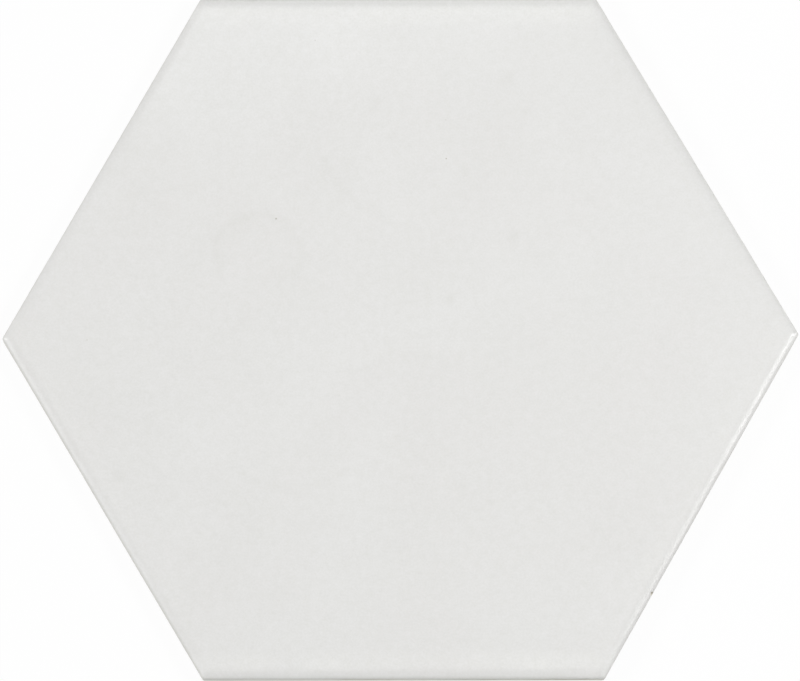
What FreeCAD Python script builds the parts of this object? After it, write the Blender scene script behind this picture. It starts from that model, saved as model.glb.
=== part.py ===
import FreeCAD, Part

import math
import os

# Hexagonal floor tile of dust-pressed porcelain, fired as one piece.
# It lies face up: Z is up and z = 0 is the plane of the back. The origin is at the middle
# of the back. Two flat sides run along X, and two of the six corners lie on the X axis.
# All sizes are in millimetres and all angles in degrees.

# Plan
ACROSS_FLATS = 285.0         # from one flat side to the one facing it, where the tile is widest
CORNER_RADIUS = 0.8          # the six corners, where the tile is widest
FACE_CORNER_RADIUS = 4.0     # the corners of the level part of the face

# Section
THICKNESS = 9.0              # from the back to the level part of the face
ROLL_WIDTH = 6.6             # the soft edge round the face, from the widest level inwards
LIP_RADIUS = 1.2             # the small round between the soft edge and the side
LIP_SLOPE = 28.0             # how steep the soft edge is where it meets the lip
SIDE_TAPER = 0.2             # the side falls in by this much from the lip to the back
BACK_CHAMFER = 0.5           # the broken edge between the side and the back

# Keying of the back: a honeycomb of shallow hollows that the adhesive grips
KEY_DEPTH = 0.5
KEY_PITCH = 23.0             # from the middle of one hollow to the middle of the next
KEY_RIB = 3.2                # the rib left between two hollows, on the plane of the back
KEY_TAPER = 0.4              # the walls of a hollow lean in by this much, to leave the die
RIM_WIDTH = 10.0             # the least plain margin between the honeycomb and the flat sides

# How many steps each curve of the soft edge is drawn through
LIP_STEPS = 5
BROAD_STEPS = 4

SIDES = 6
CORNER_ANGLE = 360.0 / SIDES
HALF_ANGLE = math.radians(CORNER_ANGLE / 2.0)


def direction(degrees):
    """Level unit vector at an angle from the X axis."""
    angle = math.radians(degrees)
    return FreeCAD.Vector(math.cos(angle), math.sin(angle), 0.0)


def rounded_hexagon(across_flats, corner_radius, height):
    """Level wire of six straight sides and six corner arcs, each tangent to its two sides."""
    middle = FreeCAD.Vector(0.0, 0.0, height)
    corner_reach = across_flats / 2.0 / math.cos(HALF_ANGLE)
    tangent_length = corner_radius * math.tan(HALF_ANGLE)
    corner_cut = corner_radius / math.cos(HALF_ANGLE) - corner_radius
    arcs = []
    for index in range(SIDES):
        turn = index * CORNER_ANGLE
        outward = direction(turn)
        to_last = (direction(turn - CORNER_ANGLE) - outward).normalize()
        to_next = (direction(turn + CORNER_ANGLE) - outward).normalize()
        corner = middle + outward * corner_reach
        arcs.append((
            corner + to_last * tangent_length,
            corner - outward * corner_cut,
            corner + to_next * tangent_length,
        ))
    edges = []
    for index, (start, crest, end) in enumerate(arcs):
        next_start = arcs[(index + 1) % SIDES][0]
        edges.append(Part.Arc(start, crest, end).toShape())
        edges.append(Part.LineSegment(end, next_start).toShape())
    return Part.Wire(edges)


def face_outline(inset, height):
    """Outline of the tile at one level of the soft edge, where its corners soften inwards."""
    softened = (FACE_CORNER_RADIUS - CORNER_RADIUS) * inset / ROLL_WIDTH
    return rounded_hexagon(ACROSS_FLATS - 2.0 * inset, CORNER_RADIUS + softened, height)


def soft_edge_profile():
    """Section of the soft edge as two lists of (inset, height): the lip and the broad arc.

    The lip turns from the upright side to the slope of the soft edge. The broad arc goes on
    from there, tangent to the lip, and ends tangent to the level face.
    """
    slope = math.radians(LIP_SLOPE)
    upright = math.radians(90.0)
    lip_width = LIP_RADIUS * (1.0 - math.sin(slope))
    broad_radius = (ROLL_WIDTH - lip_width) / math.sin(slope)
    lip_top = THICKNESS - broad_radius * (1.0 - math.cos(slope))
    lip_centre = lip_top - LIP_RADIUS * math.cos(slope)
    lip = []
    for step in range(LIP_STEPS + 1):
        lean = upright + (slope - upright) * step / LIP_STEPS
        inset = LIP_RADIUS * (1.0 - math.sin(lean))
        lip.append((inset, lip_centre + LIP_RADIUS * math.cos(lean)))
    broad = []
    for step in range(BROAD_STEPS + 1):
        lean = slope * (1.0 - step / BROAD_STEPS)
        inset = ROLL_WIDTH - broad_radius * math.sin(lean)
        broad.append((inset, THICKNESS - broad_radius * (1.0 - math.cos(lean))))
    return lip, broad


def pressed_blank():
    """The tile with a plain back: the broken edge, the side, the lip and the soft edge."""
    lip, broad = soft_edge_profile()
    side_foot_flats = ACROSS_FLATS - 2.0 * SIDE_TAPER
    back_edge = rounded_hexagon(side_foot_flats - 2.0 * BACK_CHAMFER, CORNER_RADIUS, 0.0)
    side_foot = rounded_hexagon(side_foot_flats, CORNER_RADIUS, BACK_CHAMFER)
    lip_courses = [face_outline(*level) for level in lip]
    broad_courses = [face_outline(*level) for level in broad]
    lower = Part.makeLoft([back_edge, side_foot] + lip_courses, True, True)
    upper = Part.makeLoft(broad_courses, True, False)
    return lower.fuse(upper).removeSplitter()


def key_hollow():
    """One hollow at the middle of the back, drafted, as the solid to take away.

    It reaches as far below the back as it is deep, so that the cut runs clean through it.
    Its corners stand halfway between those of the tile, so that whole rows of it run
    along every side.
    """
    rings = []
    for height in (-KEY_DEPTH, KEY_DEPTH):
        flats = KEY_PITCH - KEY_RIB - 2.0 * KEY_TAPER * height / KEY_DEPTH
        reach = flats / 2.0 / math.cos(HALF_ANGLE)
        middle = FreeCAD.Vector(0.0, 0.0, height)
        rings.append([middle + direction((i + 0.5) * CORNER_ANGLE) * reach for i in range(SIDES)])
    below, above = rings
    faces = [Part.Face(Part.makePolygon(ring + ring[:1])) for ring in rings]
    for i in range(SIDES):
        wall = [below[i - 1], below[i], above[i], above[i - 1], below[i - 1]]
        faces.append(Part.Face(Part.makePolygon(wall)))
    return Part.Solid(Part.Shell(faces))


def honeycomb():
    """The hollows of the back: one in the middle, and whole rings of them round it."""
    back_flats = ACROSS_FLATS - 2.0 * (SIDE_TAPER + BACK_CHAMFER)
    row_spacing = KEY_PITCH * math.cos(HALF_ANGLE)
    hollow_reach = (KEY_PITCH - KEY_RIB) / 2.0 / math.cos(HALF_ANGLE)
    rings = math.floor((back_flats / 2.0 - RIM_WIDTH - hollow_reach) / row_spacing)
    hollow = key_hollow()
    hollows = []
    for column in range(-rings, rings + 1):
        for row in range(-rings, rings + 1):
            if abs(column + row) <= rings:
                place = direction(0.0) * column + direction(CORNER_ANGLE) * row
                hollows.append(hollow.translated(place * KEY_PITCH))
    return Part.makeCompound(hollows)


os.makedirs("parts", exist_ok=True)
tile = pressed_blank().cut(honeycomb())
tile.exportStep("parts/tile.step")
print(f"tile: valid {tile.isValid()}, {len(tile.Solids)} solid, {tile.Volume / 1000.0:.1f} cm3")
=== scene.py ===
"""A hexagonal floor tile of pressed porcelain with a satin-matt white glaze.

It lies face up on a pale floor under soft studio light. Lengths are in metres, and the
sizes that a tile maker would name are given in millimetres and turned to metres once.
"""

import logging
import math
from dataclasses import dataclass, field
from enum import Enum

import bpy
from mathutils import Matrix, Vector


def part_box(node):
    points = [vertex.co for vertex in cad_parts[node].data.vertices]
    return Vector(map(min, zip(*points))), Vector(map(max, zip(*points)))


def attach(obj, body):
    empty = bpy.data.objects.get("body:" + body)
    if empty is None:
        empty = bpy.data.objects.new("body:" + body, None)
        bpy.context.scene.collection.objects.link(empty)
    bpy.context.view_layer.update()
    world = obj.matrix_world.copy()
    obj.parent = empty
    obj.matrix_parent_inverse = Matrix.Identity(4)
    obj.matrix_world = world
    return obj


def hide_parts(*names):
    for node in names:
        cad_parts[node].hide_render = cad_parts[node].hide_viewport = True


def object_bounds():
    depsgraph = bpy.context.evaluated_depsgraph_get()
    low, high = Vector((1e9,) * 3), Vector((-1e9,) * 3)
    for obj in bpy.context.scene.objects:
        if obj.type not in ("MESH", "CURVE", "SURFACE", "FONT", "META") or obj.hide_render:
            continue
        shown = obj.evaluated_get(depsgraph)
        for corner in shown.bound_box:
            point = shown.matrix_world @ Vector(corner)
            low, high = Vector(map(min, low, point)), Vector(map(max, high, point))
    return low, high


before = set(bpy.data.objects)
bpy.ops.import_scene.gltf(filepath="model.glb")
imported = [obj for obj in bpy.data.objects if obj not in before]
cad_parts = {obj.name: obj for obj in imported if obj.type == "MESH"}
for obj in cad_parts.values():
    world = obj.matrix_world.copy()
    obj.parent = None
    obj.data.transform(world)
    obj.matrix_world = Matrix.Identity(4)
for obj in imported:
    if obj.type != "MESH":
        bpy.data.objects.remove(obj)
CAD_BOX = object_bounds()

MM = 0.001
SIDES = 6
HALF_CORNER = math.pi / SIDES
LOG = logging.getLogger("tile")

Piece = bpy.types.Object
Socket = bpy.types.NodeSocket
Tree = bpy.types.NodeTree

# A mix node's sockets share their names, so those for values and colours go by number
LOW_VALUE, HIGH_VALUE, MIXED_VALUE = 2, 3, 0
LOW_COLOUR, HIGH_COLOUR, MIXED_COLOUR = 6, 7, 2
WHITE = (1.0, 1.0, 1.0, 1.0)

# The tile's materials, by their place in its list
GLAZED, BARE = 0, 1

# Heights, and turns counted in corners, that differ by less are taken as the same
SAME_HEIGHT = 1e-7
SAME_TURN = 1e-4


class Zone(Enum):
    """The zones of the tile's surface that are uneven in a way of their own."""

    FACE = "face"
    SHOULDER = "shoulder"
    SOFT_EDGE = "soft edge"
    BEAD = "glaze bead"
    CORNER = "corner"
    SIDE = "side"
    FRONT = "front"


class Axis(Enum):
    """The ways in which a zone of the surface can be moved."""

    UP = "Z"
    BACK = "Y"
    OUT = "NORMAL"


def linear(hex_colour: str) -> tuple[float, float, float, float]:
    """Turns a colour as it is seen on a screen to the light values that a shader takes.

    The curve and its numbers are those of the sRGB standard.

    Args:
        hex_colour: Six hex digits, two each for red, green and blue.

    Returns:
        Red, green, blue and an alpha of 1, in linear light.
    """
    channels = []
    for start in (0, 2, 4):
        value = int(hex_colour[start:start + 2], 16) / 255.0
        low = value / 12.92
        high = ((value + 0.055) / 1.055) ** 2.4
        channels.append(low if value <= 0.04045 else high)
    return (*channels, 1.0)


def smooth_step(value: float, start: float, end: float) -> float:
    """Goes from 0 at start to 1 at end, and is level at both.

    Args:
        value: The place between start and end.
        start: Where the result is 0.
        end: Where the result is 1.

    Returns:
        A weight from 0 to 1.
    """
    share = min(max((value - start) / (end - start), 0.0), 1.0)
    return share * share * (3.0 - 2.0 * share)


def heading(angle: float) -> tuple[float, float, float]:
    """Gives the level direction at an angle from the X axis."""
    return (math.cos(angle), math.sin(angle), 0.0)


def add_node(tree: Tree, kind: str, inputs: dict | None = None,
             **settings: object) -> bpy.types.Node:
    """Adds one shader node with its settings, values and links.

    Args:
        tree: The node tree that the node goes in.
        kind: Blender's name for the kind of node, without ShaderNode.
        inputs: For each input, by name or number, its value or the socket that feeds it.
        **settings: The node's own options.

    Returns:
        The new node.
    """
    node = tree.nodes.new("ShaderNode" + kind)
    for name, value in settings.items():
        setattr(node, name, value)
    for key, value in (inputs or {}).items():
        if isinstance(value, Socket):
            tree.links.new(value, node.inputs[key])
        else:
            node.inputs[key].default_value = value
    return node


def start_material(name: str) -> tuple[bpy.types.Material, Tree]:
    """Makes a material with an empty node tree.

    Args:
        name: The real material's name.

    Returns:
        The material and its node tree.
    """
    material = bpy.data.materials.new(name)
    material.use_nodes = True
    material.node_tree.nodes.clear()
    return material, material.node_tree


@dataclass(frozen=True)
class Speck:
    """A pinhead of iron that burnt through the glaze, in millimetres from the middle."""

    across: float
    along: float
    width: float
    hex_colour: str


@dataclass(frozen=True)
class ShadeArc:
    """A faint darker arc of painted shade, for a slight dip in the face, in millimetres
    and degrees.
    """

    across: float
    along: float
    radius: float
    width: float
    facing: float
    spread: float
    share: float


@dataclass(frozen=True)
class HighlightBand:
    """How strong the painted highlight band is along one side, which faces this way in
    degrees.
    """

    facing: float
    share: float


@dataclass(frozen=True)
class Blot:
    """A faint soft patch where the glaze lies a little thinner, in millimetres."""

    across: float
    along: float
    width: float
    share: float


@dataclass(frozen=True)
class PorcelainBiscuit:
    """Bare pressed porcelain body, as on the back of the tile and in a broken edge.

    It is dry and matt, cream grey, with fine dark grog and the grain of pressed powder.
    White kiln wash from the rollers is rubbed on the ribs in faint streaks.
    """

    body_hex: str = "D6D2C6"
    dark_body_hex: str = "C4BFB1"
    grog_hex: str = "8F897B"
    wash_hex: str = "ECEAE4"
    roughness: float = 0.82
    ior: float = 1.5
    powder_width: float = 0.8 * MM
    powder_height: float = 0.05 * MM
    grog_spacing: float = 3.6 * MM
    # A grain's size as a share of the spacing, and its dark core as a share of that
    grog_size: float = 0.16
    grog_core: float = 0.6
    grog_share: float = 0.8
    streak_width: float = 6.0 * MM
    streak_length: float = 60.0 * MM
    wash_share: float = 0.75
    # The rollers touch the ribs alone, and only a little wash gets into the hollows
    rib_top: float = 0.05 * MM
    hollow_edge: float = 0.15 * MM
    wash_in_hollow: float = 0.12

    def build(self) -> bpy.types.Material:
        """Makes the material.

        Returns:
            The material for the back.
        """
        material, tree = start_material("porcelain biscuit")
        place = add_node(tree, "TexCoord").outputs["Object"]
        powder = add_node(tree, "TexNoise", {
            "Vector": place, "Scale": 1.0 / self.powder_width, "Detail": 3.0,
        }).outputs["Fac"]
        grog = add_node(tree, "TexVoronoi", {
            "Vector": place, "Scale": 1.0 / self.grog_spacing,
        })
        grain = add_node(tree, "MapRange", {
            "Value": grog.outputs["Distance"],
            "From Min": self.grog_size * self.grog_core, "From Max": self.grog_size,
            "To Min": self.grog_share, "To Max": 0.0,
        })
        colour = linear(self.dark_body_hex)
        for share, hex_colour in (
            (powder, self.body_hex),
            (grain.outputs["Result"], self.grog_hex),
            (self.kiln_wash(tree, place), self.wash_hex),
        ):
            colour = add_node(tree, "Mix", {
                "Factor": share, LOW_COLOUR: colour, HIGH_COLOUR: linear(hex_colour),
            }, data_type="RGBA").outputs[MIXED_COLOUR]
        bump = add_node(tree, "Bump", {
            "Height": powder, "Distance": self.powder_height,
        })
        shader = add_node(tree, "BsdfPrincipled", {
            "Base Color": colour,
            "Roughness": self.roughness,
            "IOR": self.ior,
            "Normal": bump.outputs["Normal"],
        })
        add_node(tree, "OutputMaterial", {"Surface": shader.outputs["BSDF"]})
        return material

    def kiln_wash(self, tree: Tree, place: Socket) -> Socket:
        """Works out where the rollers rubbed off white wash: in streaks on the ribs.

        Args:
            tree: The node tree.
            place: The place on the object.

        Returns:
            The share of wash.
        """
        drawn_out = add_node(tree, "Mapping", {
            "Vector": place,
            "Scale": (1.0 / self.streak_width, 1.0 / self.streak_length, 1.0),
        })
        streaks = add_node(tree, "TexNoise", {
            "Vector": drawn_out.outputs["Vector"], "Scale": 1.0, "Detail": 5.0,
            "Roughness": 0.65,
        })
        rubbed = add_node(tree, "MapRange", {
            "Value": streaks.outputs["Fac"], "From Min": 0.45, "From Max": 0.65,
            "To Max": self.wash_share,
        })
        height = add_node(tree, "SeparateXYZ", {"Vector": place}).outputs["Z"]
        on_rib = add_node(tree, "MapRange", {
            "Value": height, "From Min": self.rib_top, "From Max": self.hollow_edge,
            "To Min": 1.0, "To Max": self.wash_in_hollow,
        })
        wash = add_node(tree, "Math", {
            0: rubbed.outputs["Result"], 1: on_rib.outputs["Result"],
        }, operation="MULTIPLY")
        return wash.outputs[0]


@dataclass(frozen=True)
class GlazedPorcelain:
    """Zirconium-white satin-matt glaze, sprayed on pressed porcelain and fired with it.

    The glaze gives a soft broad sheen, a leathery grain of fine ripples, faint clouds and
    a few iron specks. Its colour also holds a painted sheen towards the back side, a
    painted highlight band just inside the soft edge, and painted shade on the lip, where
    the glaze also thins, and in a few faint arcs. On the side the glaze ends in a ragged
    line, below which the bare body shows.
    """

    body: PorcelainBiscuit = PorcelainBiscuit()
    glaze_hex: str = "EBEBEA"
    warm_glaze_hex: str = "E9E8E7"
    # The lighter colour of the painted sheen towards the back side
    painted_sheen_hex: str = "EFEFEE"
    # The lighter colour of the painted highlight band inside the soft edge
    painted_highlight_hex: str = "F8F8F6"
    # Thin glaze, and also the darker colour of painted shade on the lip and in faint arcs
    thin_glaze_and_shade_hex: str = "D3D3CD"
    roughness: float = 0.34
    roughness_swing: float = 0.05
    ior: float = 1.52
    warm_width: float = 70.0 * MM
    cloud_width: float = 26.0 * MM
    cloud_share: float = 0.07
    mottle_width: float = 3.2 * MM
    mottle_share: float = 0.15
    # Real spray droplets dry to about 0.3 mm, drawn coarser here so that they show
    grain_width: float = 0.9 * MM
    grain_share: float = 0.26
    peel_width: float = 1.8 * MM
    peel_height: float = 0.045 * MM
    ripple_width: float = 4.5 * MM
    ripple_height: float = 0.05 * MM
    # A painted sheen: the face is painted lighter towards the back side, where the lights'
    # sheen falls
    painted_sheen_facing: float = math.radians(100.0)
    painted_sheen_from: float = 85.0 * MM
    painted_sheen_to: float = 140.0 * MM
    face_from: float = 8.3 * MM
    face_to: float = 8.85 * MM
    # The insets from a flat side over which the painted highlight band fades in and out
    highlight_start: tuple[float, float] = (3.2 * MM, 5.0 * MM)
    highlight_end: tuple[float, float] = (7.0 * MM, 14.5 * MM)
    # The painted highlight's strength on each side, strongest at the back and front
    highlight_bands: tuple[HighlightBand, ...] = (
        HighlightBand(90.0, 0.65), HighlightBand(270.0, 0.55), HighlightBand(210.0, 0.25), HighlightBand(330.0, 0.25),
    )
    # The heights between which the glaze thins over the lip, which is also painted darker
    # as painted shade
    thin_shaded_lip_from: float = 7.8 * MM
    thin_shaded_lip_to: float = 6.85 * MM
    thin_shaded_lip_share: float = 0.7
    # The ragged line on the side: its height, how far it strays and over what length
    end_height: float = 4.6 * MM
    end_wander: float = 1.6 * MM
    end_wave: float = 9.0 * MM
    end_softness: float = 0.25 * MM
    speck_core: float = 0.5
    specks: tuple[Speck, ...] = (
        Speck(-51.2, 49.3, 0.9, "B9B6AD"),
        Speck(19.4, 74.2, 0.8, "C2BFB7"),
        Speck(19.4, 90.5, 0.5, "CDCAC3"),
        Speck(-129.3, -1.0, 0.6, "D0CEC8"),
        Speck(-34.6, 124.5, 0.6, "D0CEC8"),
    )
    # How far a painted shade arc strays from its circle, over what length, and the fade at
    # its ends
    shade_arc_wander: float = 7.0 * MM
    shade_arc_wave: float = 12.0 * MM
    shade_arc_fade: tuple[float, float] = (-0.04, 0.12)
    # The painted shade arcs: faint darker lines for slight dips in the face
    shade_arcs: tuple[ShadeArc, ...] = (
        ShadeArc(-58.7, 33.6, 17.8, 3.0, 90.0, 125.0, 0.075),
        ShadeArc(-6.0, 77.1, 24.0, 3.2, 225.0, 45.0, 0.045),
        ShadeArc(4.4, -49.3, 41.5, 3.0, 90.0, 30.0, 0.045),
        ShadeArc(-44.6, -22.4, 40.5, 3.4, 268.0, 40.0, 0.045),
    )
    blots: tuple[Blot, ...] = (
        Blot(46.9, 41.2, 8.0, 0.17),
        Blot(20.6, 15.4, 6.5, 0.17),
        Blot(26.9, 68.6, 6.5, 0.13),
        Blot(45.2, 107.5, 9.0, 0.14),
        Blot(52.1, 94.0, 7.0, 0.13),
        Blot(-9.3, 98.4, 10.0, 0.13),
        Blot(-4.0, 83.4, 8.0, 0.10),
        Blot(-116.4, -57.6, 9.0, 0.13),
        Blot(-87.0, -91.5, 9.0, 0.10),
    )

    def build(self) -> bpy.types.Material:
        """Makes the material.

        Returns:
            The material for the face, the soft edge and the side.
        """
        material, tree = start_material("glazed porcelain")
        place = add_node(tree, "TexCoord").outputs["Object"]
        cover = self.glaze_cover(tree, place)
        powder = add_node(tree, "TexNoise", {
            "Vector": place, "Scale": 1.0 / self.grain_width, "Detail": 3.0,
        })
        colour = linear(self.body.dark_body_hex)
        for share, coat in (
            (powder.outputs["Fac"], linear(self.body.body_hex)),
            (cover, self.glaze_colour(tree, place)),
        ):
            colour = add_node(tree, "Mix", {
                "Factor": share, LOW_COLOUR: colour, HIGH_COLOUR: coat,
            }, data_type="RGBA").outputs[MIXED_COLOUR]
        sheen = add_node(tree, "TexNoise", {
            "Vector": place, "Scale": 1.0 / self.cloud_width, "Detail": 3.0,
        })
        glazed = add_node(tree, "MapRange", {
            "Value": sheen.outputs["Fac"],
            "To Min": self.roughness - self.roughness_swing,
            "To Max": self.roughness + self.roughness_swing,
        })
        roughness = add_node(tree, "Mix", {
            "Factor": cover, LOW_VALUE: self.body.roughness,
            HIGH_VALUE: glazed.outputs["Result"],
        })
        shader = add_node(tree, "BsdfPrincipled", {
            "Base Color": self.with_specks(tree, place, colour),
            "Roughness": roughness.outputs[MIXED_VALUE],
            "IOR": self.ior,
            "Normal": self.relief(tree, place),
        })
        add_node(tree, "OutputMaterial", {"Surface": shader.outputs["BSDF"]})
        return material

    def glaze_cover(self, tree: Tree, place: Socket) -> Socket:
        """Works out where the glaze lies: all above a ragged line on the side.

        Args:
            tree: The node tree.
            place: The place on the object.

        Returns:
            The cover, from 0 on the bare body to 1 under full glaze.
        """
        wander = add_node(tree, "TexNoise", {
            "Vector": place, "Scale": 1.0 / self.end_wave, "Detail": 4.0,
            "Roughness": 0.6,
        })
        offset = add_node(tree, "MapRange", {
            "Value": wander.outputs["Fac"], "From Min": 0.3, "From Max": 0.7,
            "To Min": -self.end_wander, "To Max": self.end_wander,
        })
        height = add_node(tree, "SeparateXYZ", {"Vector": place}).outputs["Z"]
        level = add_node(tree, "Math", {
            0: height, 1: offset.outputs["Result"],
        }, operation="ADD")
        cover = add_node(tree, "MapRange", {
            "Value": level.outputs[0],
            "From Min": self.end_height - self.end_softness,
            "From Max": self.end_height + self.end_softness,
        }, interpolation_type="SMOOTHSTEP")
        return cover.outputs["Result"]

    def cloud(self, tree: Tree, place: Socket, width: float, share: float) -> Socket:
        """Makes one soft random pattern.

        Args:
            tree: The node tree.
            place: The place on the object.
            width: How wide its patches are.
            share: How strong it is where it is strongest.

        Returns:
            A value from 0 to share.
        """
        noise = add_node(tree, "TexNoise", {
            "Vector": place, "Scale": 1.0 / width, "Detail": 3.0, "Roughness": 0.55,
        })
        spread = add_node(tree, "MapRange", {
            "Value": noise.outputs["Fac"], "From Min": 0.25, "From Max": 0.75,
            "To Max": share,
        })
        return spread.outputs["Result"]

    def glaze_colour(self, tree: Tree, place: Socket) -> Socket:
        """Makes the glaze's colour: a clouded white with thin places, a painted sheen, a
        painted highlight band and painted shade.

        Args:
            tree: The node tree.
            place: The place on the object.

        Returns:
            The colour under full glaze.
        """
        colour = linear(self.glaze_hex)
        for share, hex_colour in (
            (self.cloud(tree, place, self.warm_width, 1.0), self.warm_glaze_hex),
            # Painted sheen, lighter towards the back side of the face
            (self.painted_sheen(tree, place), self.painted_sheen_hex),
            # Painted highlight band just inside the soft edge
            (self.painted_highlight(tree, place), self.painted_highlight_hex),
            # Thin places, with painted shade on the lip and in faint arcs
            (self.thinning_and_painted_shade(tree, place), self.thin_glaze_and_shade_hex),
        ):
            colour = add_node(tree, "Mix", {
                "Factor": share, LOW_COLOUR: colour, HIGH_COLOUR: linear(hex_colour),
            }, data_type="RGBA").outputs[MIXED_COLOUR]
        return colour

    def painted_sheen(self, tree: Tree, place: Socket) -> Socket:
        """Works out the painted sheen: the face painted lighter towards the back side.

        Args:
            tree: The node tree.
            place: The place on the object.

        Returns:
            A share of the painted sheen's colour.
        """
        run = add_node(tree, "VectorMath", {
            0: place, 1: heading(self.painted_sheen_facing),
        }, operation="DOT_PRODUCT")
        # How far towards the back side the painted sheen reaches
        sheen_reach = add_node(tree, "MapRange", {
            "Value": run.outputs["Value"],
            "From Min": self.painted_sheen_from, "From Max": self.painted_sheen_to,
        }, interpolation_type="SMOOTHSTEP")
        height = add_node(tree, "SeparateXYZ", {"Vector": place}).outputs["Z"]
        on_face = add_node(tree, "MapRange", {
            "Value": height, "From Min": self.face_from, "From Max": self.face_to,
            "To Max": sheen_reach.outputs["Result"],
        }, interpolation_type="SMOOTHSTEP")
        return on_face.outputs["Result"]

    def painted_highlight(self, tree: Tree, place: Socket) -> Socket:
        """Works out the painted highlight: an uneven lighter band just inside the soft
        edge.

        Args:
            tree: The node tree.
            place: The place on the object.

        Returns:
            A share of the painted highlight's colour.
        """
        half_flats = CAD_BOX[1].y
        band_strengths = []
        for highlight_side in self.highlight_bands:
            reach = add_node(tree, "VectorMath", {
                0: place, 1: heading(math.radians(highlight_side.facing)),
            }, operation="DOT_PRODUCT").outputs["Value"]
            begins = add_node(tree, "MapRange", {
                "Value": reach, "From Min": half_flats - self.highlight_start[0],
                "From Max": half_flats - self.highlight_start[1], "To Max": highlight_side.share,
            }, interpolation_type="SMOOTHSTEP")
            # How bright the painted highlight band is at this inset
            depth = add_node(tree, "MapRange", {
                "Value": reach, "From Min": half_flats - self.highlight_end[0],
                "From Max": half_flats - self.highlight_end[1],
                "To Min": begins.outputs["Result"], "To Max": 0.0,
            }, interpolation_type="SMOOTHSTEP")
            band_strengths.append(depth.outputs["Result"])
        brightest_band, *others = band_strengths
        for depth in others:
            brightest_band = add_node(tree, "Math", {0: brightest_band, 1: depth},
                               operation="MAXIMUM").outputs[0]
        uneven = add_node(tree, "Math", {
            0: brightest_band, 1: self.cloud(tree, place, self.cloud_width, 1.0),
        }, operation="MULTIPLY")
        return uneven.outputs[0]

    def thinning_and_painted_shade(self, tree: Tree, place: Socket) -> Socket:
        """Adds up thin places and painted shade: clouds, mottle, grain, blots, the lip,
        where the glaze thins and painted shade darkens it, and the painted shade arcs.

        Args:
            tree: The node tree.
            place: The place on the object.

        Returns:
            A share of the thin glaze's colour.
        """
        height = add_node(tree, "SeparateXYZ", {"Vector": place}).outputs["Z"]
        # The glaze thins over the lip, and the lip is also painted darker as painted shade
        shaded_lip = add_node(tree, "MapRange", {
            "Value": height, "From Min": self.thin_shaded_lip_from, "From Max": self.thin_shaded_lip_to,
            "To Max": self.thin_shaded_lip_share,
        }, interpolation_type="SMOOTHSTEP")
        wander = add_node(tree, "TexNoise", {
            "Vector": place, "Scale": 1.0 / self.shade_arc_wave, "Detail": 2.0,
        }).outputs["Fac"]
        total, *others = (
            self.cloud(tree, place, self.cloud_width, self.cloud_share),
            self.cloud(tree, place, self.mottle_width, self.mottle_share),
            self.cloud(tree, place, self.grain_width, self.grain_share),
            shaded_lip.outputs["Result"],
            # Painted shade arcs
            *(self.painted_shade_arc(tree, place, wander, shade_arc) for shade_arc in self.shade_arcs),
            *(self.blot_thinning(tree, place, blot) for blot in self.blots),
        )
        for other in others:
            total = add_node(tree, "Math", {0: total, 1: other},
                             operation="ADD").outputs[0]
        return total

    def painted_shade_arc(self, tree: Tree, place: Socket, wander: Socket,
                      shade_arc: ShadeArc) -> Socket:
        """Draws one painted shade arc, for a slight dip in the face, which wanders and
        fades at its ends.

        Args:
            tree: The node tree.
            place: The place on the object.
            wander: A soft noise that bends the arc.
            shade_arc: The arc's place and size.

        Returns:
            A share of the painted shade colour.
        """
        centre = (shade_arc.across * MM, shade_arc.along * MM, CAD_BOX[1].z)
        outward = add_node(tree, "VectorMath", {0: place, 1: centre},
                           operation="SUBTRACT").outputs["Vector"]
        away = add_node(tree, "VectorMath", {0: outward}, operation="LENGTH")
        bent = add_node(tree, "Math", {
            0: wander, 1: self.shade_arc_wander, 2: away.outputs["Value"],
        }, operation="MULTIPLY_ADD")
        offset = add_node(tree, "Math", {
            0: bent.outputs[0], 1: shade_arc.radius * MM + self.shade_arc_wander / 2.0,
        }, operation="SUBTRACT")
        aside = add_node(tree, "Math", {0: offset.outputs[0]}, operation="ABSOLUTE")
        line = add_node(tree, "MapRange", {
            "Value": aside.outputs[0], "From Max": shade_arc.width * MM,
            "To Min": shade_arc.share, "To Max": 0.0,
        }, interpolation_type="SMOOTHSTEP")
        turned = add_node(tree, "VectorMath", {0: outward}, operation="NORMALIZE")
        towards = add_node(tree, "VectorMath", {
            0: turned.outputs["Vector"], 1: heading(math.radians(shade_arc.facing)),
        }, operation="DOT_PRODUCT")
        end = math.cos(math.radians(shade_arc.spread))
        fade = add_node(tree, "MapRange", {
            "Value": towards.outputs["Value"], "From Min": end + self.shade_arc_fade[0],
            "From Max": end + self.shade_arc_fade[1],
        }, interpolation_type="SMOOTHSTEP")
        share = add_node(tree, "Math", {
            0: line.outputs["Result"], 1: fade.outputs["Result"],
        }, operation="MULTIPLY")
        return share.outputs[0]

    def blot_thinning(self, tree: Tree, place: Socket, blot: Blot) -> Socket:
        """Draws one blot as a soft round patch.

        Args:
            tree: The node tree.
            place: The place on the object.
            blot: The blot's place and size.

        Returns:
            A share of the thin glaze's colour.
        """
        centre = (blot.across * MM, blot.along * MM, CAD_BOX[1].z)
        away = add_node(tree, "VectorMath", {0: place, 1: centre}, operation="DISTANCE")
        patch = add_node(tree, "MapRange", {
            "Value": away.outputs["Value"], "From Max": blot.width / 2.0 * MM,
            "To Min": blot.share, "To Max": 0.0,
        }, interpolation_type="SMOOTHSTEP")
        return patch.outputs["Result"]

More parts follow.
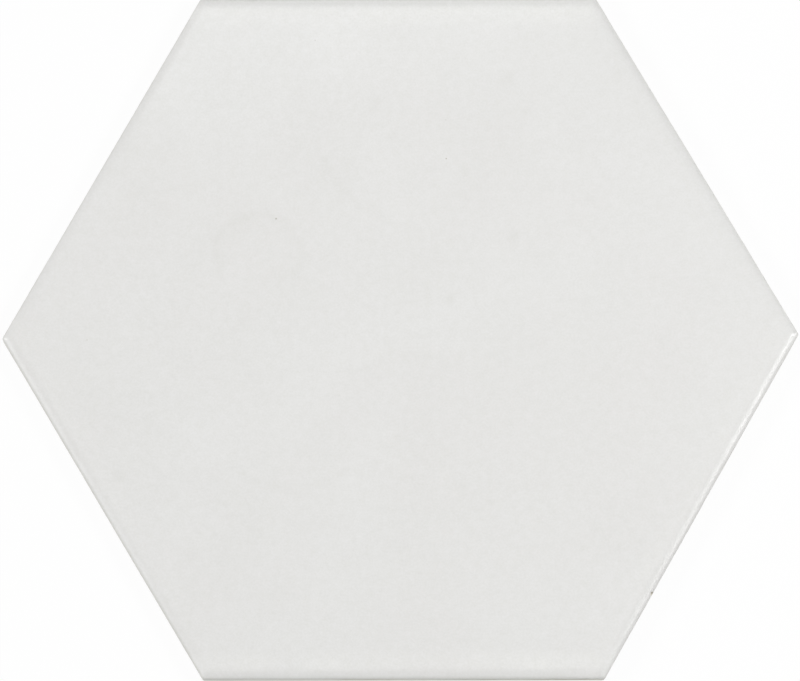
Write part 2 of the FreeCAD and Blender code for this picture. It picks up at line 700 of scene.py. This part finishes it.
    def with_specks(self, tree: Tree, place: Socket, colour: Socket) -> Socket:
        """Adds the iron specks that burnt through the glaze.

        Args:
            tree: The node tree.
            place: The place on the object.
            colour: The colour without specks.

        Returns:
            The colour with specks.
        """
        flat = add_node(tree, "VectorMath", {0: place, 1: (1.0, 1.0, 0.0)},
                        operation="MULTIPLY").outputs["Vector"]
        for speck in self.specks:
            centre = (speck.across * MM, speck.along * MM, 0.0)
            radius = speck.width / 2.0 * MM
            away = add_node(tree, "VectorMath", {0: flat, 1: centre},
                            operation="DISTANCE")
            spot = add_node(tree, "MapRange", {
                "Value": away.outputs["Value"],
                "From Min": self.speck_core * radius, "From Max": radius,
                "To Min": 1.0, "To Max": 0.0,
            }, interpolation_type="SMOOTHSTEP")
            colour = add_node(tree, "Mix", {
                "Factor": spot.outputs["Result"], LOW_COLOUR: colour,
                HIGH_COLOUR: linear(speck.hex_colour),
            }, data_type="RGBA").outputs[MIXED_COLOUR]
        return colour

    def relief(self, tree: Tree, place: Socket) -> Socket:
        """Makes the fine relief: a leathery ripple with orange peel on it.

        Args:
            tree: The node tree.
            place: The place on the object.

        Returns:
            The bumped normal.
        """
        ripple = add_node(tree, "TexNoise", {
            "Vector": place, "Scale": 1.0 / self.ripple_width, "Detail": 1.0,
        })
        peel = add_node(tree, "TexNoise", {
            "Vector": place, "Scale": 1.0 / self.peel_width, "Detail": 3.0,
            "Roughness": 0.6,
        })
        broad = add_node(tree, "Bump", {
            "Height": ripple.outputs["Fac"], "Distance": self.ripple_height,
        })
        fine = add_node(tree, "Bump", {
            "Height": peel.outputs["Fac"], "Distance": self.peel_height,
            "Normal": broad.outputs["Normal"],
        })
        return fine.outputs["Normal"]


def start_piece(name: str) -> Piece:
    """Names the object that an operator has just added and puts its place in its mesh.

    Args:
        name: The piece's name.

    Returns:
        The object, at the origin, unturned and unscaled.
    """
    piece = bpy.context.object
    piece.name = name
    piece.data.name = name
    bpy.ops.object.transform_apply(location=True, rotation=True, scale=True)
    return piece


def deselect_all() -> None:
    """Leaves no object selected, so that an operator acts only on what comes next."""
    bpy.ops.object.select_all(action="DESELECT")


def select_only(*pieces: Piece) -> None:
    """Selects these objects and makes the first one active.

    Args:
        *pieces: The objects to select.
    """
    deselect_all()
    for piece in pieces:
        piece.select_set(True)
    bpy.context.view_layer.objects.active = pieces[0]


def select_open_edges() -> None:
    """Selects the edges that border an opening, in edit mode."""
    bpy.ops.mesh.select_mode(type="EDGE")
    bpy.ops.mesh.select_all(action="DESELECT")
    bpy.ops.mesh.select_non_manifold(
        extend=False, use_wire=False, use_boundary=True, use_multi_face=False,
        use_non_contiguous=False, use_verts=False,
    )


def deselect_mesh(mesh: bpy.types.Mesh) -> None:
    """Leaves no face, edge or vertex of a mesh selected, outside edit mode.

    Args:
        mesh: The mesh.
    """
    for item in (*mesh.polygons, *mesh.edges, *mesh.vertices):
        item.select = False


def round_hexagon(piece: Piece, radius: float, steps: int) -> None:
    """Rounds the selected edges, which run down the corners of a hexagon.

    Args:
        piece: The object with those edges selected.
        radius: The radius that the corners get.
        steps: How many flats each round is made of.
    """
    select_only(piece)
    bpy.ops.object.mode_set(mode="EDIT")
    bpy.ops.mesh.select_mode(type="EDGE")
    bpy.ops.mesh.bevel(
        offset_type="OFFSET", offset=radius * math.tan(HALF_CORNER), segments=steps,
        affect="EDGES",
    )
    bpy.ops.object.mode_set(mode="OBJECT")


def apply_modifiers(piece: Piece) -> None:
    """Applies every modifier of a piece, first to last.

    Args:
        piece: The object that has them.
    """
    select_only(piece)
    for modifier in list(piece.modifiers):
        bpy.ops.object.modifier_apply(modifier=modifier.name)


@dataclass
class EdgeSection:
    """The tile's section from the level face out over the soft edge and down to the back.

    It gives levels as (inset, height), measured from the widest outline and the back, and
    its sizes are those of the CAD solid that the tile stands for.
    """

    thickness: float
    roll_width: float = 6.6 * MM
    lip_radius: float = 1.2 * MM
    lip_slope: float = math.radians(28.0)
    side_taper: float = 0.2 * MM
    back_chamfer: float = 0.5 * MM
    broad_steps: int = 14
    lip_steps: int = 8
    side_steps: int = 6
    foot_steps: int = 3

    def broad_radius(self) -> float:
        """Works out the radius of the broad arc between the lip and the level face."""
        lip_width = self.lip_radius * (1.0 - math.sin(self.lip_slope))
        return (self.roll_width - lip_width) / math.sin(self.lip_slope)

    def lip_foot(self) -> float:
        """Works out the height at which the lip turns into the upright side."""
        lip_top = self.thickness - self.broad_radius() * (1.0 - math.cos(self.lip_slope))
        return lip_top - self.lip_radius * math.cos(self.lip_slope)

    def levels(self) -> list[tuple[float, float]]:
        """Works out the levels, from the rim of the level face to the edge of the back.

        Returns:
            The levels, each as inset and height.
        """
        slope = self.lip_slope
        broad_radius = self.broad_radius()
        lip_centre = self.lip_foot()
        levels = []
        for step in range(self.broad_steps + 1):
            lean = slope * step / self.broad_steps
            inset = self.roll_width - broad_radius * math.sin(lean)
            levels.append((inset, self.thickness - broad_radius * (1.0 - math.cos(lean))))
        for step in range(1, self.lip_steps + 1):
            lean = slope + (math.pi / 2.0 - slope) * step / self.lip_steps
            inset = self.lip_radius * (1.0 - math.sin(lean))
            levels.append((inset, lip_centre + self.lip_radius * math.cos(lean)))
        for step in range(1, self.side_steps + 1):
            share = step / self.side_steps
            height = lip_centre + (self.back_chamfer - lip_centre) * share
            levels.append((self.side_taper * share, height))
        for step in range(1, self.foot_steps + 1):
            turn = math.pi / 2.0 * step / self.foot_steps
            inset = self.side_taper + self.back_chamfer * (1.0 - math.cos(turn))
            levels.append((inset, self.back_chamfer * (1.0 - math.sin(turn))))
        return levels


@dataclass
class HoneycombKey:
    """The keyed back: a honeycomb of shallow drafted hollows between ribs."""

    pitch: float = 23.0 * MM
    rib: float = 3.2 * MM
    depth: float = 0.5 * MM
    taper: float = 0.4 * MM
    corner_radius: float = 2.0 * MM
    corner_steps: int = 3
    rings: int = 6

    def build(self) -> Piece:
        """Models one cell, lays it out in rows and keeps the whole rings.

        Returns:
            The honeycomb as one open sheet that faces down.
        """
        sheet = self.cell()
        row_spacing = self.pitch * math.cos(HALF_CORNER)
        for step in ((self.pitch, 0.0, 0.0), (self.pitch / 2.0, row_spacing, 0.0)):
            array = sheet.modifiers.new("row", "ARRAY")
            array.use_relative_offset = False
            array.use_constant_offset = True
            array.constant_offset_displace = step
            array.count = 2 * self.rings + 1
            array.use_merge_vertices = True
            array.merge_threshold = 0.01 * MM
        apply_modifiers(sheet)
        # Each row starts half a pitch on, which puts the middle half as far again
        middle = Vector((self.rings * self.pitch * 1.5, self.rings * row_spacing, 0.0))
        sheet.data.transform(Matrix.Translation(-middle))
        self.keep_whole_rings(sheet, row_spacing)
        return sheet

    def cell(self) -> Piece:
        """Models one cell: half a rib all round, and the rounded and drafted hollow.

        Returns:
            The cell, with its middle at the origin.
        """
        deselect_all()
        bpy.ops.mesh.primitive_circle_add(
            vertices=SIDES, radius=self.pitch / 2.0 / math.cos(HALF_CORNER),
            fill_type="NGON", rotation=(math.pi, 0.0, 0.0),
        )
        cell = start_piece("back_key")
        bpy.ops.object.mode_set(mode="EDIT")
        bpy.ops.mesh.select_all(action="SELECT")
        bpy.ops.mesh.inset(thickness=self.rib / 2.0, depth=0.0)
        bpy.ops.mesh.inset(thickness=self.taper, depth=-self.depth)
        bpy.ops.object.mode_set(mode="OBJECT")
        deselect_mesh(cell.data)
        for edge in cell.data.edges:
            heights = [cell.data.vertices[index].co.z for index in edge.vertices]
            edge.select = abs(heights[0] - heights[1]) > self.depth / 2.0
        round_hexagon(cell, self.corner_radius, self.corner_steps)
        return cell

    def keep_whole_rings(self, sheet: Piece, row_spacing: float) -> None:
        """Deletes the cells that lie outside the outermost whole ring.

        Args:
            sheet: The rows of cells, as a leaning rectangle.
            row_spacing: From one row to the next.
        """
        deselect_mesh(sheet.data)
        for face in sheet.data.polygons:
            row = round(face.center.y / row_spacing)
            column = round((face.center.x - row * self.pitch / 2.0) / self.pitch)
            face.select = abs(row + column) > self.rings
        select_only(sheet)
        bpy.ops.object.mode_set(mode="EDIT")
        bpy.ops.mesh.select_mode(type="FACE")
        bpy.ops.mesh.delete(type="FACE")
        bpy.ops.object.mode_set(mode="OBJECT")


@dataclass(frozen=True)
class Unevenness:
    """Random unevenness of one zone, which only takes away and never adds."""

    name: str
    zone: Zone
    axis: Axis
    width: float
    depth: float
    octaves: int

    def add_to(self, piece: Piece) -> None:
        """Adds the unevenness as a modifier.

        Args:
            piece: The object, with a vertex group for the zone.
        """
        modifier = piece.modifiers.new(self.name, "DISPLACE")
        modifier.direction = self.axis.value
        modifier.vertex_group = self.zone.value
        modifier.texture_coords = "LOCAL"
        modifier.mid_level = 1.0
        modifier.strength = self.depth
        modifier.texture = bpy.data.textures.new(self.name, "CLOUDS")
        modifier.texture.noise_scale = self.width
        modifier.texture.noise_depth = self.octaves


@dataclass(frozen=True)
class Band:
    """A zone's reach from a line: it fades in over rise and out over fall."""

    rise: tuple[float, float] | None = None
    fall: tuple[float, float] | None = None

    def weight(self, distance: float) -> float:
        """Works out how far a point belongs to the band.

        Args:
            distance: How far the point lies from the line.

        Returns:
            A weight from 0 to 1.
        """
        weight = 1.0
        if self.rise:
            weight *= smooth_step(distance, *self.rise)
        if self.fall:
            weight *= 1.0 - smooth_step(distance, *self.fall)
        return weight


@dataclass(frozen=True)
class Chip:
    """A small shell-shaped flake that has broken off the lip."""

    across: float = 102.2 * MM
    along: float = -107.5 * MM
    height: float = 7.4 * MM
    radius: float = 0.85 * MM
    facet_width: float = 0.51 * MM
    facet_depth: float = 0.35 * MM

    def cut(self, tile: Piece) -> None:
        """Cuts the chip out of the tile, with bare body inside it.

        Args:
            tile: The tile, with the bare body as its second material.
        """
        deselect_all()
        bpy.ops.mesh.primitive_ico_sphere_add(
            subdivisions=4, radius=self.radius,
            location=(self.across, self.along, self.height),
        )
        flake = start_piece("flake")
        for material in tile.data.materials:
            flake.data.materials.append(material)
        for face in flake.data.polygons:
            face.material_index = BARE
        breakage = flake.modifiers.new("breakage", "DISPLACE")
        breakage.texture = bpy.data.textures.new("breakage", "CLOUDS")
        breakage.texture.noise_scale = self.facet_width
        breakage.texture_coords = "LOCAL"
        breakage.strength = self.facet_depth
        apply_modifiers(flake)
        cut = tile.modifiers.new("chip", "BOOLEAN")
        cut.operation = "DIFFERENCE"
        cut.object = flake
        apply_modifiers(tile)
        bpy.data.objects.remove(flake)


@dataclass
class FloorTile:
    """The tile: one closed mesh with its face, soft edge, side and keyed back."""

    flats: float
    thickness: float
    corner_radius: float = 0.8 * MM
    corner_steps: int = 4
    crease_angle: float = math.radians(35.0)
    lattice_levels: int = 7
    shoulder_drop: float = 0.12 * MM
    bead_height: float = 0.4 * MM
    # Firing shrank the tile a little more towards one end of its front side
    front_slant: float = 0.93 * MM
    # The body is bare from just above the broken edge of the back
    bare_height: float = 0.505 * MM
    # The zones, by how far a point lies inside the widest outline
    face_band: Band = Band(rise=(0.5 * MM, 9.0 * MM))
    shoulder_band: Band = Band(fall=(1.5 * MM, 13.0 * MM))
    soft_edge_band: Band = Band((0.3 * MM, 1.6 * MM), (3.5 * MM, 9.0 * MM))
    bead_band: Band = Band((0.1 * MM, 1.3 * MM), (1.6 * MM, 7.0 * MM))
    corner_band: Band = Band((0.2 * MM, 1.0 * MM), (3.5 * MM, 9.0 * MM))
    # How far a corner softens beside its mitre, and how the side fades at top and foot
    mitre_band: Band = Band(fall=(2.7 * MM, 9.0 * MM))
    side_fade: float = 1.0 * MM
    section: EdgeSection = field(init=False)
    key: HoneycombKey = field(default_factory=HoneycombKey)
    chip: Chip = field(default_factory=Chip)
    uneven: tuple[Unevenness, ...] = (
        Unevenness("swell", Zone.FACE, Axis.UP, 55.0 * MM, 0.30 * MM, 0),
        Unevenness("glaze flow", Zone.FACE, Axis.UP, 12.0 * MM, 0.05 * MM, 1),
        Unevenness("edge pull", Zone.SOFT_EDGE, Axis.UP, 16.0 * MM, 0.22 * MM, 1),
        Unevenness("edge ripple", Zone.SOFT_EDGE, Axis.UP, 5.0 * MM, 0.05 * MM, 1),
        Unevenness("side sway", Zone.SIDE, Axis.OUT, 30.0 * MM, 0.25 * MM, 1),
        Unevenness("side grain", Zone.SIDE, Axis.OUT, 3.0 * MM, 0.05 * MM, 1),
    )

    def __post_init__(self) -> None:
        """Fits the section to the tile's thickness."""
        self.section = EdgeSection(self.thickness)

    def build(self) -> Piece:
        """Models the tile.

        Returns:
            The finished piece, with its materials.
        """
        tile = self.face()
        self.draw_sides(tile)
        self.round_corners(tile)
        self.close_back(tile)
        self.roughen(tile)
        self.dress(tile)
        self.chip.cut(tile)
        select_only(tile)
        bpy.ops.object.shade_smooth_by_angle(angle=self.crease_angle)
        return tile

    def face(self) -> Piece:
        """Models the level face as a lattice of small triangles.

        Returns:
            The face, as an open sheet.
        """
        inset, height = self.section.levels()[0]
        reach = (self.flats / 2.0 - inset) / math.cos(HALF_CORNER)
        deselect_all()
        bpy.ops.mesh.primitive_circle_add(
            vertices=SIDES, radius=reach, fill_type="TRIFAN",
            location=(0.0, 0.0, height), rotation=(0.0, 0.0, HALF_CORNER),
        )
        tile = start_piece("hexagon_tile")
        bpy.ops.object.mode_set(mode="EDIT")
        bpy.ops.mesh.select_all(action="SELECT")
        for _ in range(self.lattice_levels):
            bpy.ops.mesh.subdivide(number_cuts=1)
        bpy.ops.object.mode_set(mode="OBJECT")
        return tile

    def draw_sides(self, tile: Piece) -> None:
        """Draws the rim of the face out over the soft edge and down the side.

        Args:
            tile: The face.
        """
        levels = self.section.levels()
        select_only(tile)
        bpy.ops.object.mode_set(mode="EDIT")
        select_open_edges()
        for (last_inset, last_height), (inset, height) in zip(levels, levels[1:]):
            growth = (self.flats / 2.0 - inset) / (self.flats / 2.0 - last_inset)
            bpy.ops.mesh.extrude_region_move(
                TRANSFORM_OT_translate={"value": (0.0, 0.0, height - last_height)},
            )
            bpy.ops.transform.resize(
                value=(growth, growth, 1.0), center_override=(0.0, 0.0, 0.0),
            )
        bpy.ops.object.mode_set(mode="OBJECT")

    def round_corners(self, tile: Piece) -> None:
        """Rounds the six corners, from the face down to the back.

        Args:
            tile: The face with its sides.
        """
        mesh = tile.data
        deselect_mesh(mesh)
        for edge in mesh.edges:
            ends = [mesh.vertices[index].co for index in edge.vertices]
            level = abs(ends[0].z - ends[1].z) < SAME_HEIGHT
            if level and ends[0].z > self.thickness - SAME_HEIGHT:
                continue
            turns = [math.atan2(end.y, end.x) / (2.0 * HALF_CORNER) for end in ends]
            edge.select = all(abs(turn - round(turn)) < SAME_TURN for turn in turns)
        round_hexagon(tile, self.corner_radius, self.corner_steps)

    def close_back(self, tile: Piece) -> None:
        """Joins the keyed back to the side, with the plain rim between them.

        Args:
            tile: The face with its sides.
        """
        key = self.key.build()
        select_only(tile, key)
        bpy.ops.object.join()
        bpy.ops.object.mode_set(mode="EDIT")
        select_open_edges()
        bpy.ops.mesh.fill(use_beauty=True)
        bpy.ops.mesh.select_all(action="SELECT")
        bpy.ops.mesh.remove_doubles(threshold=0.005 * MM)
        bpy.ops.mesh.normals_make_consistent(inside=False)
        bpy.ops.object.mode_set(mode="OBJECT")

    def weights(self, place: Vector) -> dict[Zone, float]:
        """Works out how far a point belongs to each zone.

        Args:
            place: The point.

        Returns:
            A weight from 0 to 1 for each zone.
        """
        half_flats = self.flats / 2.0
        turns = [HALF_CORNER * (2 * side + 1) for side in range(SIDES // 2)]
        reach = max(abs(place.x * math.cos(turn) + place.y * math.sin(turn))
                    for turn in turns)
        inset = half_flats - reach
        angle = math.atan2(place.y, place.x) / (2.0 * HALF_CORNER)
        off_mitre = place.xy.length * abs(math.sin((angle - round(angle))
                                                   * 2.0 * HALF_CORNER))
        side_length = self.flats * math.tan(HALF_CORNER)
        along_front = min(max(0.5 - place.x / side_length, 0.0), 1.0)
        lip_foot = self.section.lip_foot()
        on_top = smooth_step(place.z, lip_foot, lip_foot + self.side_fade)
        return {
            Zone.FACE: on_top * self.face_band.weight(inset),
            Zone.SHOULDER: on_top * self.shoulder_band.weight(inset),
            Zone.SOFT_EDGE: on_top * self.soft_edge_band.weight(inset),
            Zone.BEAD: self.bead_band.weight(inset) * float(place.z > lip_foot),
            Zone.CORNER: on_top * self.corner_band.weight(inset)
            * self.mitre_band.weight(off_mitre),
            Zone.SIDE: (1.0 - on_top) * smooth_step(place.z, 0.0, self.side_fade),
            Zone.FRONT: max(-place.y / half_flats, 0.0) * along_front,
        }

    def roughen(self, tile: Piece) -> None:
        """Gives the pressed and glazed surface its swells, ripples and soft corners.

        Args:
            tile: The closed tile.
        """
        groups = {zone: tile.vertex_groups.new(name=zone.value) for zone in Zone}
        for vertex in tile.data.vertices:
            for zone, weight in self.weights(vertex.co).items():
                if weight > 0.0:
                    groups[zone].add([vertex.index], weight, "REPLACE")
        self.shift(tile, Zone.SHOULDER, Axis.UP, -self.shoulder_drop)
        self.shift(tile, Zone.BEAD, Axis.UP, self.bead_height)
        soften = tile.modifiers.new("soft corners", "SMOOTH")
        soften.vertex_group = Zone.CORNER.value
        soften.use_x = False
        soften.use_y = False
        soften.factor = 0.5
        soften.iterations = 12
        for unevenness in self.uneven:
            unevenness.add_to(tile)
        self.shift(tile, Zone.FRONT, Axis.BACK, self.front_slant)
        apply_modifiers(tile)
        tile.vertex_groups.clear()

    def shift(self, tile: Piece, zone: Zone, axis: Axis, distance: float) -> None:
        """Moves one zone by a set distance, with a modifier.

        Args:
            tile: The tile, with a vertex group for the zone.
            zone: The zone to move.
            axis: The way to move it.
            distance: How far it moves where its weight is full.
        """
        modifier = tile.modifiers.new(zone.value, "DISPLACE")
        modifier.direction = axis.value
        modifier.vertex_group = zone.value
        modifier.mid_level = 0.0
        modifier.strength = distance

    def dress(self, tile: Piece) -> None:
        """Gives the glazed surface and the bare back their materials.

        Args:
            tile: The closed tile.
        """
        tile.data.materials.clear()
        glaze = GlazedPorcelain()
        tile.data.materials.append(glaze.build())
        tile.data.materials.append(glaze.body.build())
        for face in tile.data.polygons:
            heights = [tile.data.vertices[index].co.z for index in face.vertices]
            face.material_index = BARE if max(heights) < self.bare_height else GLAZED


@dataclass(frozen=True)
class Softbox:
    """A round soft light that is aimed at the tile.

    Its share is the part that it gives of the light on a level surface, where all lights
    together give about 1, at which a matt surface renders in the colour it is written in.
    """

    name: str
    place: tuple[float, float, float]
    width: float
    share: float

    def hang(self) -> None:
        """Adds the light to the scene."""
        away = Vector(self.place)
        data = bpy.data.lights.new(self.name, "AREA")
        data.shape = "DISK"
        data.size = self.width
        # The power at which a disk that far away lights a level surface by its share
        data.energy = self.share * math.pi ** 2 * away.length ** 3 / away.z
        lamp = bpy.data.objects.new(self.name, data)
        bpy.context.collection.objects.link(lamp)
        lamp.location = away
        lamp.rotation_euler = (-away).to_track_quat("-Z", "Y").to_euler()


@dataclass
class Studio:
    """The floor, the soft lights and the camera."""

    floor_size: float = 6.0
    floor_hex: str = "F8F8F8"
    floor_glow: float = 0.95
    lens: float = 273.2
    distance: float = 2.504
    aim: tuple[float, float, float] = (-0.39 * MM, -1.76 * MM, 7.5 * MM)
    lean_forward: float = math.radians(9.0)
    lean_aside: float = math.radians(-1.13)
    picture_turn: float = math.radians(0.33)
    room_share: float = 0.227
    softboxes: tuple[Softbox, ...] = (
        Softbox("overhead", (0.05, 0.33, 2.4), 0.7, 0.032),
        Softbox("back", (-0.2, 0.85, 2.25), 0.6, 0.06),
        Softbox("right", (1.7, 0.0, 1.7), 0.8, 0.256),
        Softbox("near right", (0.85, -0.05, 0.85), 0.5, 0.105),
        Softbox("left", (-2.79, 0.0, 1.95), 1.1, 0.285),
    )

    def build(self) -> None:
        """Sets up the floor, the lights, the room and the camera."""
        self.floor()
        for softbox in self.softboxes:
            softbox.hang()
        self.room()
        self.camera()
        bpy.context.scene.view_settings.view_transform = "Standard"

    def floor(self) -> None:
        """Lays the pale floor, which the camera sees as white with a faint shadow."""
        deselect_all()
        bpy.ops.mesh.primitive_plane_add(size=self.floor_size)
        floor = start_piece("floor")
        material, tree = start_material("white paper floor")
        diffuse = add_node(tree, "BsdfDiffuse", {"Color": linear(self.floor_hex)})
        glow = add_node(tree, "Emission", {"Color": WHITE})
        share = add_node(tree, "Math", {0: self.seen(tree), 1: self.floor_glow},
                         operation="MULTIPLY")
        surface = add_node(tree, "MixShader", {
            0: share.outputs[0], 1: diffuse.outputs["BSDF"], 2: glow.outputs["Emission"],
        })
        add_node(tree, "OutputMaterial", {"Surface": surface.outputs["Shader"]})
        floor.data.materials.append(material)

    def seen(self, tree: Tree) -> Socket:
        """Tells what is looked at, also in a mirror or through glass, from what lights.

        Args:
            tree: The node tree of the floor or the room.

        Returns:
            1 for a ray that is seen and 0 for one that only lights.
        """
        paths = add_node(tree, "LightPath")
        seen = paths.outputs["Is Camera Ray"]
        for ray in ("Is Glossy Ray", "Is Transmission Ray"):
            seen = add_node(tree, "Math", {0: seen, 1: paths.outputs[ray]},
                            operation="MAXIMUM").outputs[0]
        return seen

    def room(self) -> None:
        """Sets the white room, which is seen as white and gives back an even light."""
        world = bpy.data.worlds.new("studio")
        world.use_nodes = True
        bpy.context.scene.world = world
        tree = world.node_tree
        strength = add_node(tree, "MapRange", {
            "Value": self.seen(tree), "To Min": self.room_share,
        })
        background = tree.nodes["Background"]
        background.inputs["Color"].default_value = WHITE
        tree.links.new(strength.outputs["Result"], background.inputs["Strength"])

    def camera(self) -> None:
        """Puts the camera where the photographer's stood: high, a little to the front."""
        data = bpy.data.cameras.new("camera")
        data.lens = self.lens
        data.sensor_width = 36.0
        camera = bpy.data.objects.new("camera", data)
        bpy.context.collection.objects.link(camera)
        turn = (
            Matrix.Rotation(self.lean_forward, 4, "X")
            @ Matrix.Rotation(self.lean_aside, 4, "Y")
            @ Matrix.Rotation(-self.picture_turn, 4, "Z")
        )
        camera.matrix_world = (
            Matrix.Translation(Vector(self.aim)) @ turn
            @ Matrix.Translation((0.0, 0.0, self.distance))
        )
        bpy.context.scene.camera = camera


def main() -> None:
    """Builds the tile and the studio."""
    logging.basicConfig(level=logging.INFO, format="%(message)s")
    low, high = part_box("tile")
    tile = FloorTile(flats=high.y - low.y, thickness=high.z - low.z).build()
    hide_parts("tile")
    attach(tile, "root")
    LOG.info("%s: %d faces", tile.name, len(tile.data.polygons))
    Studio().build()


if __name__ == "__main__":
    main()
